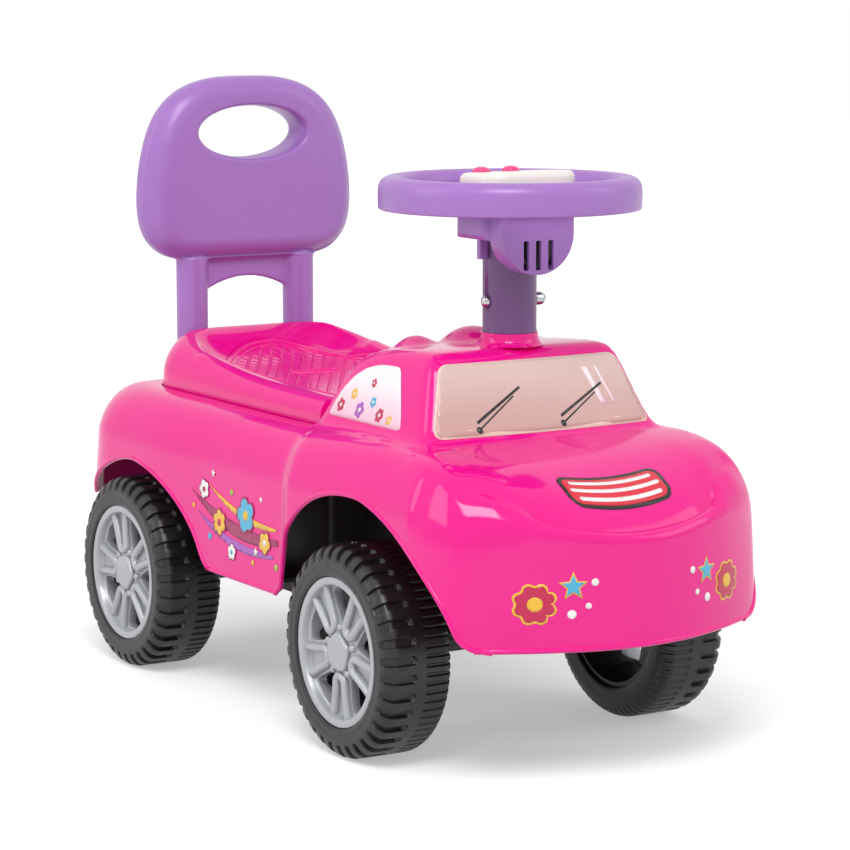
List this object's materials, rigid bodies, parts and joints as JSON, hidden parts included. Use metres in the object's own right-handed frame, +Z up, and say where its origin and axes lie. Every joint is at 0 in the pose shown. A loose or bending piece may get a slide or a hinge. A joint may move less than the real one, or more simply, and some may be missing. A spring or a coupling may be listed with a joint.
{
  "type": "kids ride-on car",
  "caption": "Foot-to-floor ride-on car with a steered front axle, music steering wheel, backrest with push handle and a lidded under-seat store.",
  "frame": {"origin": "centre of the footprint on the floor, under the middle of the body", "axes": "+X to the car's left side, +Y towards the backrest (the nose faces -Y), +Z up"},
  "size_m": [0.246, 0.538, 0.397],
  "materials": {
    "pink_plastic": "blow moulded, glossy hot pink",
    "printed_film": "printed self-adhesive film",
    "purple_plastic": "satin moulded purple",
    "black_plastic": "matt moulded black",
    "tyre_black": "moulded tread, matt black",
    "silver_plastic": "silver-grey moulded",
    "bright_steel": "zinc-plated steel",
    "cream_plastic": "off-white moulded",
    "button_pink": "glossy pink domes",
    "board_green": "solder-masked laminate",
    "cell_jacket": "plain jacketed cells"
  },
  "bodies": {
    "body": {"body_shell": "pink_plastic", "windscreen_film": "printed_film", "side_film_left": "printed_film", "side_film_right": "printed_film", "seat_form": "pink_plastic", "lid_hinge_pin": "bright_steel", "chassis": "black_plastic", "chassis_screw_1": "bright_steel", "chassis_screw_2": "bright_steel", "chassis_screw_3": "bright_steel", "chassis_screw_4": "bright_steel", "column_collar": "pink_plastic", "floor_bush": "cream_plastic", "rear_axle": "bright_steel", "rear_axle_bracket_left": "black_plastic", "rear_axle_bracket_right": "black_plastic", "rear_bracket_screw_left": "bright_steel", "rear_bracket_screw_right": "bright_steel", "spacer_rear_left": "black_plastic", "spacer_rear_right": "black_plastic", "push_nut_rear_left": "bright_steel", "push_nut_rear_right": "bright_steel", "backrest": "purple_plastic"},
    "lid": {"storage_lid": "pink_plastic"},
    "steering": {"front_yoke": "black_plastic", "front_axle": "bright_steel", "steering_rod": "bright_steel", "steering_column": "purple_plastic", "column_bolt": "bright_steel", "column_nut": "bright_steel", "steering_wheel": "purple_plastic", "horn_pad": "cream_plastic", "music_box": "purple_plastic", "speaker": "black_plastic", "circuit_board": "board_green", "battery_1": "cell_jacket", "battery_2": "cell_jacket", "spacer_front_left": "black_plastic", "spacer_front_right": "black_plastic", "push_nut_front_left": "bright_steel", "push_nut_front_right": "bright_steel"},
    "melody_key": {"melody_button": "button_pink"},
    "horn_key": {"horn_button": "button_pink"},
    "wheel_front_left": {"tyre_front_left": "tyre_black", "rim_front_left": "silver_plastic", "hub_cap_front_left": "silver_plastic"},
    "wheel_front_right": {"tyre_front_right": "tyre_black", "rim_front_right": "silver_plastic", "hub_cap_front_right": "silver_plastic"},
    "wheel_rear_left": {"tyre_rear_left": "tyre_black", "rim_rear_left": "silver_plastic", "hub_cap_rear_left": "silver_plastic"},
    "wheel_rear_right": {"tyre_rear_right": "tyre_black", "rim_rear_right": "silver_plastic", "hub_cap_rear_right": "silver_plastic"}
  },
  "joints": [
    {"name": "steering_turn", "type": "hinge", "parent": "body", "child": "steering", "pos_m": [0, -0.12, 0.2], "axis": [0, 0, 1], "range_deg": [-15, 15]},
    {"name": "lid_swing", "type": "hinge", "parent": "body", "child": "lid", "pos_m": [0, -0.0155, 0.1985], "axis": [1, 0, 0], "range_deg": [0, 70]},
    {"name": "melody_press", "type": "slide", "parent": "steering", "child": "melody_key", "axis": [0, 0, -1], "range_m": [0, 0.002], "stiffness_N_per_m": 250},
    {"name": "horn_press", "type": "slide", "parent": "steering", "child": "horn_key", "axis": [0, 0, -1], "range_m": [0, 0.002], "stiffness_N_per_m": 250},
    {"name": "spin_front_left", "type": "hinge", "parent": "steering", "child": "wheel_front_left", "pos_m": [0.09975, -0.117, 0.06475], "axis": [1, 0, 0], "continuous": true},
    {"name": "spin_front_right", "type": "hinge", "parent": "steering", "child": "wheel_front_right", "pos_m": [-0.09975, -0.117, 0.06475], "axis": [1, 0, 0], "continuous": true},
    {"name": "spin_rear_left", "type": "hinge", "parent": "body", "child": "wheel_rear_left", "pos_m": [0.09975, 0.173, 0.06475], "axis": [1, 0, 0], "continuous": true},
    {"name": "spin_rear_right", "type": "hinge", "parent": "body", "child": "wheel_rear_right", "pos_m": [-0.09975, 0.173, 0.06475], "axis": [1, 0, 0], "continuous": true}
  ]
}
